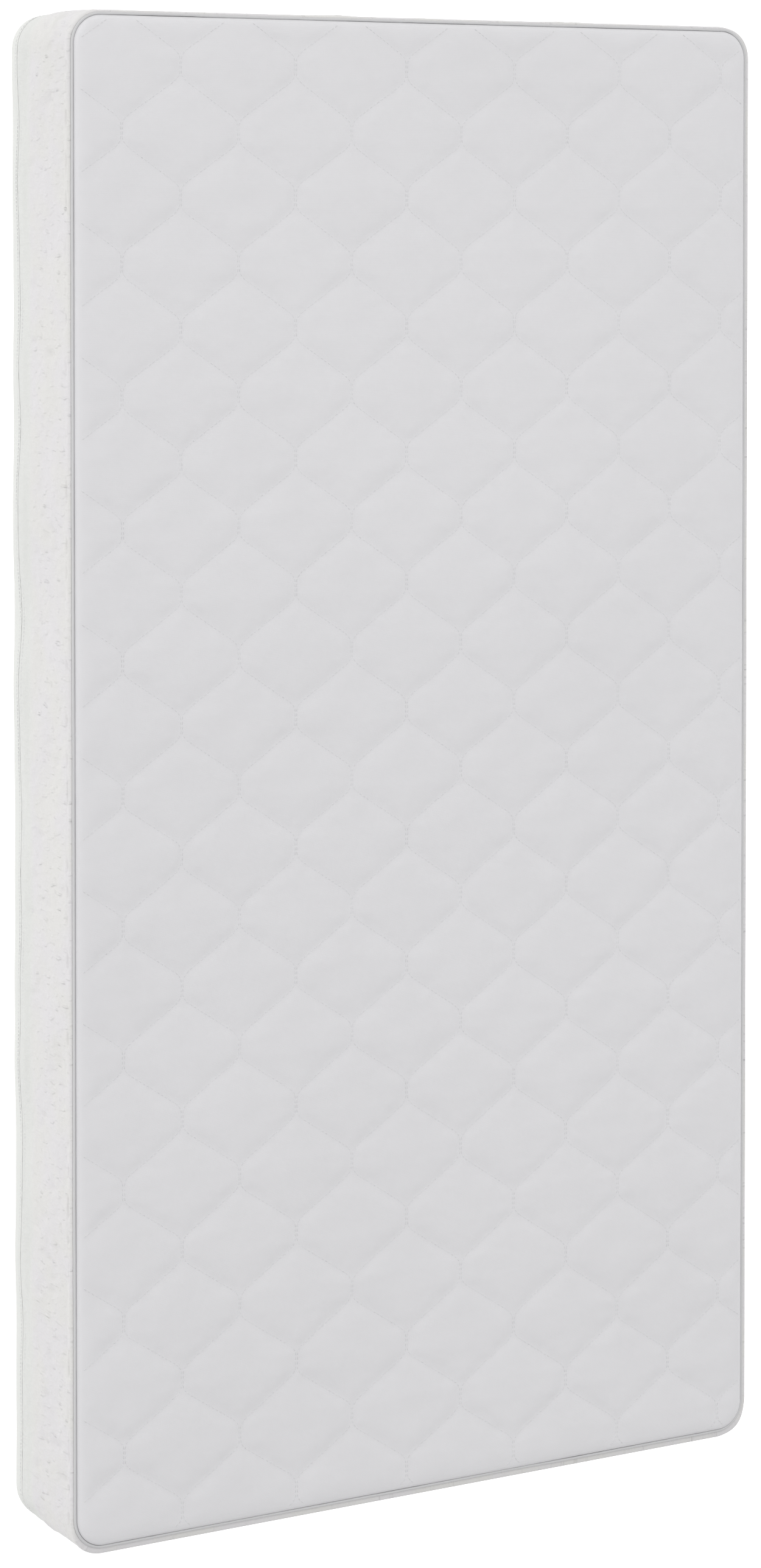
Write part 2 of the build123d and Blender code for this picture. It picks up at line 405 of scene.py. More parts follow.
def handlingTree(nodes, source):
    # slow drift of tone over a large piece, with a few faint smudges
    drift = nodes.mapped(nodes.noise(source["Vector"], 3.2, 2.0), 0.3, 0.7, -0.5, 0.5)
    smudge = nodes.mapped(nodes.noise(source["Vector"], 26.0, 3.0, 0.6), 0.3, 0.7, -0.25, 0.25)
    return {"Tone": nodes.sum("MULTIPLY_ADD", nodes.sum("ADD", drift, smudge), source["Amount"], 1.0)}


relief = ("Height", "Shade")
effects = {
    "knit": ("knitLoops", "Loop", 0.0012, relief, knitTree),
    "weave": ("plainWeave", "Yarn", 0.0005, relief, weaveTree),
    "fibre": ("fibreField", "Size", 0.002, relief, fibreTree),
    "foam": ("foamCells", "Cell", 0.0012, relief, foamTree),
    "tone": ("handlingTone", "Amount", 0.02, ("Tone",), handlingTree),
}
groups = {key: effectGroup(*effect) for key, effect in effects.items()}


def clothMaterial(name, colour, effect, size, bump, useUv=False, toneAmount=0.02, roughness=0.9, sheen=0.0,
                  metallic=0.0, extra=None, patches=None):
    # one surface effect for height and shade, drifting tone, and an extra relief where given, with painted
    # light and shade that follow that relief
    material = bpy.data.materials.new(name)
    material.use_nodes = True
    nodes = Nodes(material.node_tree)
    shader = material.node_tree.nodes["Principled BSDF"]
    where = nodes.add("ShaderNodeTexCoord").outputs["UV" if useUv else "Object"]

    def placed(key, value):
        group = nodes.add("ShaderNodeGroup", node_tree=groups[key])
        nodes.plug(where, group.inputs["Vector"])
        group.inputs[effects[key][1]].default_value = value
        return group.outputs

    surface, tone = placed(effect, size), placed("tone", toneAmount)
    shade = nodes.sum("MULTIPLY", surface["Shade"], tone["Tone"])
    normal = None
    if extra is not None:
        # the extra relief brings painted light and shade: its colour is lighter on the relief's crests and
        # darker in its hollows
        more, depth, paintedShading = extra(nodes, where)
        shade = nodes.sum("MULTIPLY", shade, paintedShading)
        normal = nodes.bump(more, depth)
    nodes.plug(nodes.bump(surface["Height"], bump, normal), shader.inputs["Normal"])
    mix = nodes.add("ShaderNodeVectorMath", operation="SCALE")
    mix.inputs[0].default_value = colour
    nodes.plug(shade, mix.inputs["Scale"])
    whole = mix.outputs[0]
    if patches is not None:
        tinted = nodes.add("ShaderNodeVectorMath", operation="MULTIPLY")
        nodes.plug(whole, tinted.inputs[0])
        nodes.plug(patches(nodes, where), tinted.inputs[1])
        whole = tinted.outputs[0]
    nodes.plug(whole, shader.inputs["Base Color"])
    for socket, value in (("Roughness", roughness), ("Specular IOR Level", 0.25), ("Metallic", metallic),
                          ("Sheen Weight", sheen), ("Sheen Roughness", 0.5)):
        shader.inputs[socket].default_value = value
    return material


def puckerRelief(nodes, where):
    # the padded border's small puckers, and soft creases longer up it than along it, none near the zip; the
    # creases carry a painted highlight, and the puckers painted light on their crests and painted shade in
    # their hollows
    blobs = nodes.noise(nodes.scaled(where, (1.2, 0.7, 1.0)), 150.0, 2.0, 0.5)
    streak = nodes.noise(nodes.scaled(where, (1.0, 0.42, 1.0)), 200.0, 1.0, 0.5)
    crease = nodes.mapped(streak, 0.52, 0.80, 0.0, 1.0)
    crease = nodes.sum("MULTIPLY", crease, crease)
    upper = nodes.mapped(nodes.split(where)[1], 0.020, 0.036, 0.0, 1.0)
    crease = nodes.sum("MULTIPLY", crease, upper)
    height = nodes.sum("MULTIPLY_ADD", crease, 1.1, blobs)
    # painted highlight: the creases are painted up to 2% lighter, and the puckers a little lighter on their
    # crests and darker in their hollows
    shade = nodes.mapped(crease, 0.0, 1.0, 1.0, 1.02)
    return height, 0.0011, nodes.sum("MULTIPLY", shade, nodes.mapped(blobs, 0.3, 0.7, 0.992, 1.006))


def borderPatches(nodes, where):
    # the border's tone drifts between faint rose and beige, and turns a little green in its lower third
    rose, beige, green = (1.0, 0.985, 1.0), (1.0, 0.992, 0.972), (0.992, 1.004, 0.978)
    up = nodes.split(where)[1]
    colour = rose
    for other, amount in ((beige, nodes.mapped(nodes.noise(where, 24.0, 2.0), 0.4, 0.6, 0.0, 1.0)),
                          (green, nodes.mapped(up, 0.017, 0.026, 1.0, 0.0))):
        mix = nodes.add("ShaderNodeMix", data_type="VECTOR")
        nodes.plug(amount, mix.inputs[0])
        nodes.plug(colour, mix.inputs[4])
        nodes.plug(other, mix.inputs[5])
        colour = mix.outputs[1]
    return colour


def crinkleRelief(nodes, where):
    # small soft crinkles of a thin film, painted lighter on their crests and darker in their hollows as
    # painted light and shade
    crease = nodes.noise(where, 46.0, 3.0, 0.55, 0.6)
    return crease, 0.0012, nodes.mapped(crease, 0.3, 0.7, 0.98, 1.02)


def slackRelief(nodes, where):
    # the face knit's faint slackness between the stitches, painted a little lighter where it rises and darker
    # where it sinks as painted light and shade
    soft = nodes.noise(where, 60.0, 2.0, 0.5)
    return soft, 0.0005, nodes.mapped(soft, 0.3, 0.7, 0.995, 1.005)


finishes = {    # colour, effect, the effect's size and depth in mm, and what else is special
    "quiltKnit": ((0.706, 0.701, 0.716), "knit", 0.9, 0.08, {"extra": slackRelief, "sheen": 0.15}),
    "borderKnit": ((0.658, 0.656, 0.656), "knit", 1.1, 0.07,
                   {"useUv": True, "extra": puckerRelief, "sheen": 0.15, "patches": borderPatches}),
    "bandKnit": ((0.69, 0.698, 0.677), "knit", 0.8, 0.04, {"useUv": True, "sheen": 0.1}),
    "panelKnit": ((0.74, 0.74, 0.735), "knit", 1.0, 0.06, {}),
    "pipingBias": ((0.575, 0.575, 0.58), "weave", 0.45, 0.05, {"useUv": True}),
    "stitchThread": ((0.72, 0.72, 0.73), "fibre", 0.5, 0.03, {"roughness": 0.6}),
    "pipingFiller": ((0.78, 0.77, 0.74), "fibre", 0.6, 0.08, {}),
    "wadding": ((0.84, 0.84, 0.83), "fibre", 2.5, 0.6, {"sheen": 0.2}),
    "barrierFelt": ((0.76, 0.75, 0.72), "fibre", 1.2, 0.2, {"toneAmount": 0.05}),
    "membraneFilm": ((0.76, 0.78, 0.79), "weave", 0.7, 0.02, {"roughness": 0.42, "extra": crinkleRelief}),
    "memoryFoam": ((0.70, 0.755, 0.80), "foam", 0.7, 0.18, {"toneAmount": 0.04}),
    "supportFoam": ((0.80, 0.785, 0.72), "foam", 1.5, 0.4, {"toneAmount": 0.05}),
    "glueFilm": ((0.74, 0.70, 0.56), "fibre", 3.0, 0.2, {"roughness": 0.45}),
    "zipTape": ((0.74, 0.74, 0.725), "weave", 0.5, 0.1, {"useUv": True}),
    "zipCoil": ((0.73, 0.73, 0.72), "fibre", 1.0, 0.01, {"roughness": 0.35}),
    "zipMetal": ((0.52, 0.515, 0.50), "fibre", 0.6, 0.008, {"roughness": 0.34, "metallic": 0.85}),
    "labelSatin": ((0.83, 0.83, 0.82), "weave", 0.22, 0.02, {"roughness": 0.5}),
}
materials = {name: clothMaterial(name, colour, effect, size * mm, depth * mm, **more)
             for name, (colour, effect, size, depth, more) in finishes.items()}

def finished(piece, material, body, slotName, *nodes):
    # material, body and the CAD nodes that a piece stands for; the slot name is not used
    piece.data.materials.clear()
    piece.data.materials.append(materials[material])
    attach(piece, body)
    if nodes:
        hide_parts(*nodes)
    return piece


print("materials done")

quilt = {
    "step": 2.9 * mm,
    "pitchX": 112.4 * mm,      # from cell to cell across
    "pitchY": 113.6 * mm,      # and along
    "upright": 20.8 * mm,      # straight stretch between two slanting ones
    "round": 9 * mm,           # rounding of a stitch line's corners
    "apart": 0.9 * mm,         # half the space between two lines that run side by side
    "firstX": 45 * mm,         # a cell's middle, from the head end's -X seam corner
    "firstY": 43 * mm,
    "crown": 1.2 * mm,         # how high the pillows stand
    "pillowWide": 37 * mm,     # from a stitch line to a pillow's flat top
    "bite": 0.72 * mm,         # the groove that the stitches pull in
    "biteWide": 6.6 * mm,
    "slack": 0.22 * mm,
    "fineSlack": 0.05 * mm,
    "tug": 0.13 * mm,          # short folds beside the stitches
    "tugWide": 11 * mm,
    "roll": 22 * mm,           # how far in the edge starts to roll down, and by how much
    "edgeDrop": 5.0 * mm,
    "tuckIn": 0.4 * mm,
}
seamReach = 26.5 * mm
panelReach = reachOf("quilt_face")
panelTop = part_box("quilt_face")[1].z
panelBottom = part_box("quilt_fill")[0].z
seamX, seamY = coreX + seamReach, coreY + seamReach
cellX = -seamX + quilt["firstX"]
cellY = seamY - quilt["firstY"]
swing = quilt["pitchX"] / 4 - quilt["apart"]


def stitchSway(y):
    # a stitch line's sideways swing, -1 to 1: flat, slanting, flat, slanting back, with its corners rounded
    slant = quilt["pitchY"] / 2 - quilt["upright"]
    total = 0
    shifts = np.linspace(-0.5, 0.5, 9) * quilt["round"]
    for shift in shifts:
        t = np.abs((y + shift - cellY + quilt["pitchY"] / 2) % quilt["pitchY"] - quilt["pitchY"] / 2)
        total = total + np.clip((t - quilt["upright"] / 2) / slant, 0, 1) * 2 - 1
    return total / len(shifts)


def stitchLine(number, y):
    # where a stitch line crosses the height y: neighbours swing opposite ways, so they meet round each cell
    middle = cellX + (number + 0.5) * quilt["pitchX"] / 2
    side = 1 if number % 2 else -1
    return middle + side * swing * stitchSway(y)


lineNumbers = range(-2, int(2 * seamX / (quilt["pitchX"] / 2)) + 2)


def quiltHeight(x, y, edge):
    # pillows between the stitch lines: the height grows with the distance from the nearest one, less a bite
    slope = (stitchSway(y + 0.5 * mm) - stitchSway(y - 0.5 * mm)) / mm * swing
    cosine = 1 / np.sqrt(1 + slope ** 2)
    nearest = np.full(np.shape(x), 1.0)
    for number in lineNumbers:
        nearest = np.minimum(nearest, np.abs(x - stitchLine(number, y)) * cosine)
    pillow = 1 - (1 - np.clip(nearest / quilt["pillowWide"], 0, 1)) ** 2.4
    bite = np.exp(-(nearest / quilt["biteWide"]) ** 2)
    slack = waves(x, y, 90 * mm, 28 * mm, 14, 3) * quilt["slack"]
    slack = slack + waves(x, y, 22 * mm, 10 * mm, 18, 4) * quilt["fineSlack"]
    tug = waves(x, y, 20 * mm, 11 * mm, 14, 5) * quilt["tug"] * np.exp(-(nearest / quilt["tugWide"]) ** 2)
    fade = smoothStep(edge, 1 * mm, 20 * mm)
    return (quilt["crown"] * (pillow - 1) - quilt["bite"] * bite + slack + tug) * fade


def edgeRoll(edge):
    # the panel's edge rolls down to the seam as a quarter of an ellipse
    t = np.clip(1 - edge / quilt["roll"], 0, 1)
    return -quilt["edgeDrop"] * (1 - np.sqrt(np.clip(1 - t ** 2.3, 0, 1)))


flatRings = np.arange(1, 9) / 8 * (panelReach - quilt["tuckIn"])
sideRings = [(panelReach, panelTop - 5.4 * mm), (panelReach + hair, panelTop - 6.4 * mm),
             (panelReach - quilt["tuckIn"], panelBottom + hair)]
quiltProfile = [(0, panelTop)] + [(r, panelTop) for r in flatRings] + sideRings


def quiltRelief(px, py, ring, inward):
    # the quilting on the panel's top, and nothing on its sides
    reach = np.array([r for r, z in quiltProfile])[ring]
    edge = panelReach - reach + inward
    top = ring <= len(flatRings)
    return np.where(top, quiltHeight(px, py, edge) + edgeRoll(edge), 0)


quiltedPanel = drapedPiece("quiltedPanel", quilt["step"], quiltProfile, quiltRelief)
finished(quiltedPanel, "quiltKnit", "top_cover", "quilt_knit", "quilt_face", "quilt_fill")
print("quilted panel done", len(quiltedPanel.data.polygons))


def stitchesAlong(name, places, ways, ups, length, thick, sink):
    # many short threads, each a three-sided tube whose two ends dive into the cloth
    along = np.array([-0.5, -0.36, 0.36, 0.5]) * length
    depth = np.array([-sink, 0.0, 0.0, -sink])
    wide = np.array([0.6, 1.0, 1.0, 0.6]) * thick / 2
    angle = np.arange(3) * 2 * math.pi / 3 + math.pi / 2
    sides = np.cross(ways, ups)
    ringMiddle = places[:, None, :] + times(along, ways) + times(depth, ups)
    outward = times(np.cos(angle), sides) + times(np.sin(angle), ups)
    points = ringMiddle[:, :, None, :] + wide[None, :, None, None] * outward[:, None, :, :]
    one = gridQuads(4, 3, closeColumns=True)
    quads = (one[None] + 12 * np.arange(len(places))[:, None, None]).reshape(-1, 4)
    start = 12 * np.arange(len(places))
    caps = [c for s in start for c in ((s, s + 1, s + 2), (s + 11, s + 10, s + 9))]
    piece = meshObject(name, points.reshape(-1, 3), quads, caps)
    facing = bmesh.new()
    facing.from_mesh(piece.data)
    bmesh.ops.recalc_face_normals(facing, faces=facing.faces)
    facing.to_mesh(piece.data)
    facing.free()
    return piece


def edgeInside(x, y, reach):
    # distance in from the rounded outline at that reach
    outX, outY = np.maximum(np.abs(x) - coreX, 0), np.maximum(np.abs(y) - coreY, 0)
    inward = np.minimum(coreX - np.abs(x), coreY - np.abs(y))
    return np.where(inward > 0, reach + inward, reach - np.hypot(outX, outY))


quiltThread = {"pitch": 4.2 * mm, "length": 3.2 * mm, "thick": 0.5 * mm, "sink": 0.5 * mm,
               "lift": 0.15 * mm, "fromEdge": 4 * mm}


def quiltStitches():
    # every stitch line is stepped through by its own length, and a thread lies on the panel at each step
    places, ways = [], []
    near = quiltThread["length"] / 3
    for number in lineNumbers:
        y = np.linspace(-seamY, seamY, 2600)
        line = np.stack([stitchLine(number, y), y], -1)
        run = np.concatenate([[0], np.cumsum(np.hypot(*np.diff(line, axis=0).T))])
        at = np.arange(quiltThread["pitch"], run[-1], quiltThread["pitch"])
        here, ahead, behind = (pointsAt(line, run, at + shift) for shift in (0, near, -near))
        keep = edgeInside(here[:, 0], here[:, 1], panelReach) > quiltThread["fromEdge"]
        places.append(here[keep])
        ways.append((ahead - behind)[keep])
    places, ways = np.concatenate(places), unit(np.concatenate(ways))

    def heightAt(p):
        edge = edgeInside(p[:, 0], p[:, 1], panelReach)
        return panelTop + quiltHeight(p[:, 0], p[:, 1], edge) + edgeRoll(edge)

    rise = (heightAt(places + ways * near) - heightAt(places - ways * near)) / (2 * near)
    along = unit(np.concatenate([ways, rise[:, None]], -1))
    ups = np.cross(np.stack([ways[:, 1], -ways[:, 0], 0 * rise], -1), along)
    lift = heightAt(places)[:, None] + quiltThread["lift"]
    return stitchesAlong("quiltStitches", np.concatenate([places, lift], -1), along, ups,
                         quiltThread["length"], quiltThread["thick"], quiltThread["sink"])


finished(quiltStitches(), "stitchThread", "top_cover", "quilt_knit")
print("quilt stitches done")

barrierLow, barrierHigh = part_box("quilt_barrier")


def barrierPiece():
    # a felt sheet: its lower side is drawn up a little along the stitch lines
    rings = np.array([8, 16, 22, 24.7]) * mm
    px, py, ring, inward = drapedGrid(8 * mm, rings)
    edge = edgeInside(px, py, rings[-1])
    low = barrierLow.z - 0.45 * quiltHeight(px, py, edge) - 0.2 * mm * smoothStep(edge, 0, 30 * mm)
    low = np.maximum(low, barrierLow.z + 0.02 * mm)
    high = np.full(px.shape, barrierHigh.z - 0.05 * mm)
    low = np.minimum(low, high - 0.1 * mm)
    under = np.stack([px, py, low], -1).reshape(-1, 3)
    over = np.stack([px, py, high], -1).reshape(-1, 3)
    rim = rimOf(px.shape)
    nextRim = np.roll(rim, -1)
    side = np.stack([rim, nextRim, nextRim + len(under), rim + len(under)], -1)
    below, above = gridQuads(*px.shape)[:, ::-1], gridQuads(*px.shape, start=len(under))
    quads = np.concatenate([below, above, side[:, ::-1]])
    return meshObject("quiltBarrier", np.concatenate([under, over]), quads)


quiltBarrier = finished(barrierPiece(), "barrierFelt", "top_cover", "barrier_felt", "quilt_barrier")

border = {
    "spacing": 2.3 * mm,
    "pucker": 0.10 * mm,
    "slack": 0.7 * mm,
    "dents": 420,             # short creases scattered over the upper two thirds
    "dentDepth": 1.9 * mm,
    "gather": 1.5 * mm,       # depth of the dimples under the piping
    "hemGap": 0.69 * mm,      # each hem's share of the way to the other
    "hemFill": 1.9 * mm,      # how far the covers stand out beside the zip, and how much that sways
    "hemSway": 1.2 * mm,
    "lipDrop": 1.2 * mm,      # how far the border's hem laps over the base's
    "lapOut": 0.32 * mm,      # and how far it stands out over it
    "lapEdge": 0.2 * mm,
    "footBulge": 3.6 * mm,    # how much fuller the foot and the +X side are
    "sideBulge": 2.6 * mm,
    "cornerTuck": 1.7 * mm,   # depth of the fold at the foot's -X corner
    "smoothBelow": 42 * mm,
    "seed": 11,
}
bulge = plan["cornerRadius"]
hemReach = reachOf("base_band")
hemHigh, seamHigh = borderLow.z, borderHigh.z
knitThick = 1.1 * mm
bodyLine = alongArc([
    (hemReach - 0.12 * mm, hemHigh), (hemReach, hemHigh + 0.12 * mm),
    (hemReach + hair, hemHigh + 1.6 * mm),
    (hemReach + 0.6 * mm, hemHigh + 5.5 * mm), (bulge - 0.7 * mm, hemHigh + 14 * mm),
    (bulge - hair, 54 * mm), (bulge, 84 * mm), (bulge - 0.2 * mm, 103 * mm), (bulge - 0.4 * mm, 111 * mm),
], 34)
rollLine = alongArc([
    (bulge - 0.4 * mm, 111 * mm), (bulge - 0.25 * mm, 115 * mm), (bulge - 0.2 * mm, 117.8 * mm),
    (bulge - 0.6 * mm, 119.6 * mm), (bulge - 1.5 * mm, 120.7 * mm), (bulge - 2.5 * mm, 120.9 * mm),
    (bulge - 3.3 * mm, seamHigh + 0.1 * mm)], 15)
outerLine = np.concatenate([bodyLine[:1], [(hemReach, hemHigh + 0.1 * mm)], bodyLine[1:], rollLine[1:]])
innerLine = outerLine[-3::-7] + np.array([-knitThick, 0])
borderProfile = np.concatenate([outerLine, innerLine])


def awayFromSlider(ways):
    # 0 along the side where the slider runs, 1 round the rest, changing over in the two corners between
    return 1 - smoothStep(ways[:, 0], 0.35, 0.98)[:, None]


def hemsMeet(ways, height, hem):
    # the two hems lie against each other, except where the slider runs between them
    return awayFromSlider(ways) * (1 - smoothStep(np.abs(height - hem), 0.5 * mm, 7 * mm))


def hemFill(run, ways, height):
    # beside the zip the covers stand almost as full as the rest and sway a little, except by the slider
    sway = waves(run, 0 * run, 210 * mm, 70 * mm, 9, 12) * border["hemSway"]
    return (border["hemFill"] + sway) * awayFromSlider(ways) * np.exp(-((height - 20 * mm) / (15 * mm)) ** 4)


def scatteredDents(run, height, count, seed):
    # short creases: random points on a length-by-height grid, each blurred to a dent longer up than along
    rng = np.random.default_rng(seed)
    fineRun, fineHigh = int(run[-1, 0] / mm), int(seamHigh / mm)
    field = np.zeros((fineRun, fineHigh))
    at = rng.integers(0, fineRun, count), rng.integers(int(border["smoothBelow"] / mm), fineHigh - 9, count)
    np.add.at(field, at, rng.uniform(0.3, 1.0, count) ** 1.5)
    alongRun = np.exp(-(np.minimum(np.arange(fineRun), fineRun - np.arange(fineRun)) / 2.9) ** 2)
    upHigh = np.exp(-(np.minimum(np.arange(fineHigh), fineHigh - np.arange(fineHigh)) / 5.8) ** 2)
    spread = np.fft.fft2(field) * np.fft.fft(alongRun)[:, None] * np.fft.fft(upHigh)[None, :]
    field = np.real(np.fft.ifft2(spread))
    i = np.clip(run / mm, 0, fineRun - 1).astype(int)
    j = np.clip(height / mm, 0, fineHigh - 1).astype(int)
    return -np.minimum(field[i, j], 1.3)


def borderRelief(run, girth, reach, height, feet, ways):
    # puckers, slack and dents that fade out at the two seams, one fold at the foot's -X corner, a fuller foot
    # and +X side, dimples close under the piping, and a hem that laps over the base's
    column = np.arange(reach.shape[1])[None, :]
    outer = column < len(outerLine)
    fade = smoothStep(height, hemHigh + 1 * mm, hemHigh + 12 * mm)
    fade = fade * (1 - smoothStep(height, seamHigh - 9 * mm, seamHigh - 2 * mm))
    small = waves(run, height, 15 * mm, 6.5 * mm, 44, border["seed"], stretch=0.8)
    calm = 0.35 + 0.65 * smoothStep(height, border["smoothBelow"] - 6 * mm, border["smoothBelow"] + 6 * mm)
    pucker = np.clip(small, -1.2, 2.0) * border["pucker"] * calm
    slack = waves(run, height, 150 * mm, 40 * mm, 16, border["seed"] + 1, stretch=1.6) * border["slack"]
    dents = scatteredDents(run, height, border["dents"], border["seed"] + 3) * border["dentDepth"]
    atCorner = np.hypot(feet[:, 0] + coreX, feet[:, 1] + coreY)[:, None] < 1e-6
    angle = np.arctan2(-ways[:, 1], -ways[:, 0])[:, None] - 0.45 - 0.5 * smoothStep(height, 56 * mm, 66 * mm)
    tuck = smoothStep(angle, -0.1, 0.06) * (1 - smoothStep(angle, 0.12, 0.6)) * atCorner
    crease = -border["cornerTuck"] * tuck * np.exp(-((height - 55 * mm) / (38 * mm)) ** 4)
    often = np.clip(waves(run, 0 * run, 60 * mm, 16 * mm, 18, border["seed"] + 2), 0.1, 1.6) - 0.1
    gather = -border["gather"] * often * np.exp(-((height - seamHigh + 4.4 * mm) / (1.5 * mm)) ** 2)
    footward, sideward = (smoothStep(way, 0.2, 0.95)[:, None] for way in (-ways[:, 1], ways[:, 0]))
    full = border["footBulge"] * footward * smoothStep(height, 24 * mm, 60 * mm)
    full = full + border["sideBulge"] * sideward * smoothStep(height, 90 * mm, 112 * mm)
    # none of the fullness reaches the piping
    full = full * np.where(height > 100 * mm, smoothStep(reach, bulge - 3.3 * mm, bulge - 1.4 * mm), 1)
    lip = awayFromSlider(ways) * outer * (1 - smoothStep(height - hemHigh, 0.5 * mm, 7 * mm))
    drop = -border["hemGap"] * hemsMeet(ways, height, hemHigh) - border["lipDrop"] * lip * (column > 0)
    lapped = lip * np.where(column > 0, border["lapOut"], border["lapEdge"])
    fill = hemFill(run, ways, height)
    return (pucker + slack + dents + crease) * fade + full + np.where(outer, gather, 0) + fill + lapped, drop


borderCover = carriedPiece("borderCover", border["spacing"], borderProfile, borderRelief)
finished(borderCover, "borderKnit", "top_cover", "border_knit", "border_fabric")
print("border done", len(borderCover.data.polygons))

paddingLow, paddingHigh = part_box("border_padding")
paddingIn = 23.25 * mm
tapeBack = 25.0 * mm
paddingProfile = np.concatenate([
    alongArc([(hemReach - 0.95 * mm, paddingLow.z), (hemReach - 0.9 * mm, paddingLow.z + 2 * mm),
              (bulge - 3.4 * mm, hemHigh + 15 * mm), (bulge - 3.1 * mm, 54 * mm), (bulge - 3.0 * mm, 84 * mm),
              (bulge - 3.3 * mm, 103 * mm), (25.9 * mm, 114.5 * mm), (25.8 * mm, paddingHigh.z)], 16),
    [(paddingIn, paddingHigh.z), (paddingIn, 80 * mm), (paddingIn, 36.5 * mm), (tapeBack, 36.4 * mm),
     (tapeBack, paddingLow.z)]])
padding = carriedPiece("borderPadding", 9 * mm, paddingProfile)
finished(padding, "wadding", "top_cover", "wadding", "border_padding")


stripThick = 0.5 * mm


def strip(name, node, spacing, columns, relief=None):
    # an upright strip as tall and far out as its CAD node
    low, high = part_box(node)
    reach = high.x - coreX - np.repeat([0, stripThick], columns)
    z = np.linspace(low.z, high.z, columns)
    return carriedPiece(name, spacing, np.stack([reach, np.concatenate([z, z[::-1]])], -1), relief)


def liningRelief(run, girth, reach, height, feet, ways):
    # shallow upright ripples, outward only so that they stay off the foam
    ripple = waves(run, height * 0.3, 60 * mm, 18 * mm, 12, 21) * 0.12 * mm
    return np.broadcast_to(np.abs(ripple) * 0.5, reach.shape), np.zeros_like(reach)


borderBarrier = strip("borderBarrier", "border_barrier", 7 * mm, 10, liningRelief)
finished(borderBarrier, "barrierFelt", "top_cover", "barrier_felt", "border_barrier")

piping = {
    "reach": seamReach,
    "height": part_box("piping_cover")[1].z - 1.2 * mm,
    "radius": 1.2 * mm,
    "inner": 0.76 * mm,       # the bias strip's inner side, just clear of the cord
    "cord": 0.68 * mm,
    "tail": 3.4 * mm,         # the strip's two edges, sewn into the seam
    "neck": 1.5 * mm,         # how far below the cord they come together
    "outerApart": 0.26 * mm,
    "innerApart": 0.02 * mm,
}


def pipingProfile():
    # the bias strip, outer side then inner: up one edge, round the cord, and down the other edge
    low, neck = piping["radius"] + piping["tail"], piping["neck"]

    def side(radius, apart, angles):
        angle = np.radians(angles)
        around = np.stack([radius * np.cos(angle), radius * np.sin(angle)], -1)
        sign = 1 if angles[0] < 0 else -1
        return np.concatenate([[(sign * apart, -low), (sign * apart, -neck)], around,
                               [(-sign * apart, -neck), (-sign * apart, -low)]])

    outer = side(piping["radius"], piping["outerApart"], np.linspace(-62, 242, 15))
    inner = side(piping["inner"], piping["innerApart"], np.linspace(242, -62, 9))
    return np.concatenate([outer, inner]) + np.array([piping["reach"], piping["height"]])


def pipingRelief(run, girth, reach, height, feet, ways):
    # the covered cord wanders by a hair, and its bias strip is slightly uneven
    wander = waves(run, 0 * run, 240 * mm, 60 * mm, 10, 31) * 0.10 * mm
    uneven = waves(run, girth, 26 * mm, 9 * mm, 12, 32) * 0.05 * mm
    return np.broadcast_to(wander, reach.shape) + uneven, np.broadcast_to(wander * 0.6, reach.shape)


pipingCover = carriedPiece("pipingCover", 3 * mm, pipingProfile(), pipingRelief)
finished(pipingCover, "pipingBias", "top_cover", "piping_grey", "piping_cover")
cordAngle = np.linspace(0, 2 * math.pi, 9)[:-1]
cordProfile = np.stack([piping["reach"] + piping["cord"] * np.cos(cordAngle),
                        piping["height"] + piping["cord"] * np.sin(cordAngle)], -1)
pipingCord = carriedPiece("pipingCord", 6 * mm, cordProfile)
finished(pipingCord, "pipingFiller", "top_cover", "piping_filler", "piping_cord")
print("piping done")

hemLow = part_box("base_band")[1].z
bandLine = alongArc([*inMm((20, 0.02), (22.3, 0.25), (24.9, 1.6), (27.0, 4.4), (27.75, 8.5), (27.8, 14)),
                     (hemReach, hemLow - 1.6 * mm), (hemReach, hemLow - 0.12 * mm),
                     (hemReach - 0.12 * mm, hemLow)], 22)
bandInner = alongArc([(26.8 * mm, hemLow - 0.2 * mm), *inMm((26.8, 8.4), (24.3, 3.1), (20, 1.15))], 8)
bandSlack = 0.16 * mm


def bandRelief(run, girth, reach, height, feet, ways):
    # long shallow slack, none where the band meets the floor
    fade = smoothStep(height, 2 * mm, 8 * mm) * (1 - smoothStep(height, hemLow - 4 * mm, hemLow))
    outer = np.arange(reach.shape[1])[None, :] < len(bandLine)
    slack = waves(run, height, 120 * mm, 30 * mm, 16, 41, stretch=1.4) * bandSlack
    meet = border["hemGap"] * hemsMeet(ways, height, hemLow)
    return np.where(outer, slack * fade, 0) + hemFill(run, ways, height), meet


baseBand = carriedPiece("baseBand", 4.5 * mm, np.concatenate([bandLine, bandInner]), bandRelief)
finished(baseBand, "bandKnit", "base_cover", "band_knit", "base_band")
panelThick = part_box("base_panel")[1].z
baseProfile = [(0, panelThick), (10 * mm, panelThick), (19.6 * mm, panelThick),
               (20 * mm, panelThick - 0.4 * mm), (20 * mm, 0.3 * mm), (19.7 * mm, 0.0)]
basePanel = drapedPiece("basePanel", 16 * mm, baseProfile)
finished(basePanel, "panelKnit", "base_cover", "band_knit", "base_panel")
waddingProfile = inMm((0, 3.15), (12, 3.15), (22.4, 3.1), (23.8, 5.4), (25.1, 8.0), (25.2, 12), (25.2, 17.3),
                      (25.9, 17.6), (26.6, 17.3), (26.6, 8.4), (24.1, 3.4), (19.6, 1.3))
baseWadding = drapedPiece("baseWadding", 16 * mm, waddingProfile)
finished(baseWadding, "wadding", "base_cover", "wadding", "base_wadding")
membraneLow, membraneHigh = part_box("base_membrane")
membraneProfile = [(0, membraneHigh.z), (12 * mm, membraneHigh.z), (22.2 * mm, membraneHigh.z),
                   (22.4 * mm, membraneLow.z)]
baseMembrane = drapedPiece("baseMembrane", 16 * mm, membraneProfile)
finished(baseMembrane, "membraneFilm", "base_cover", "membrane", "base_membrane")
print("base cover done")

coreReach = reachOf("memory_foam")


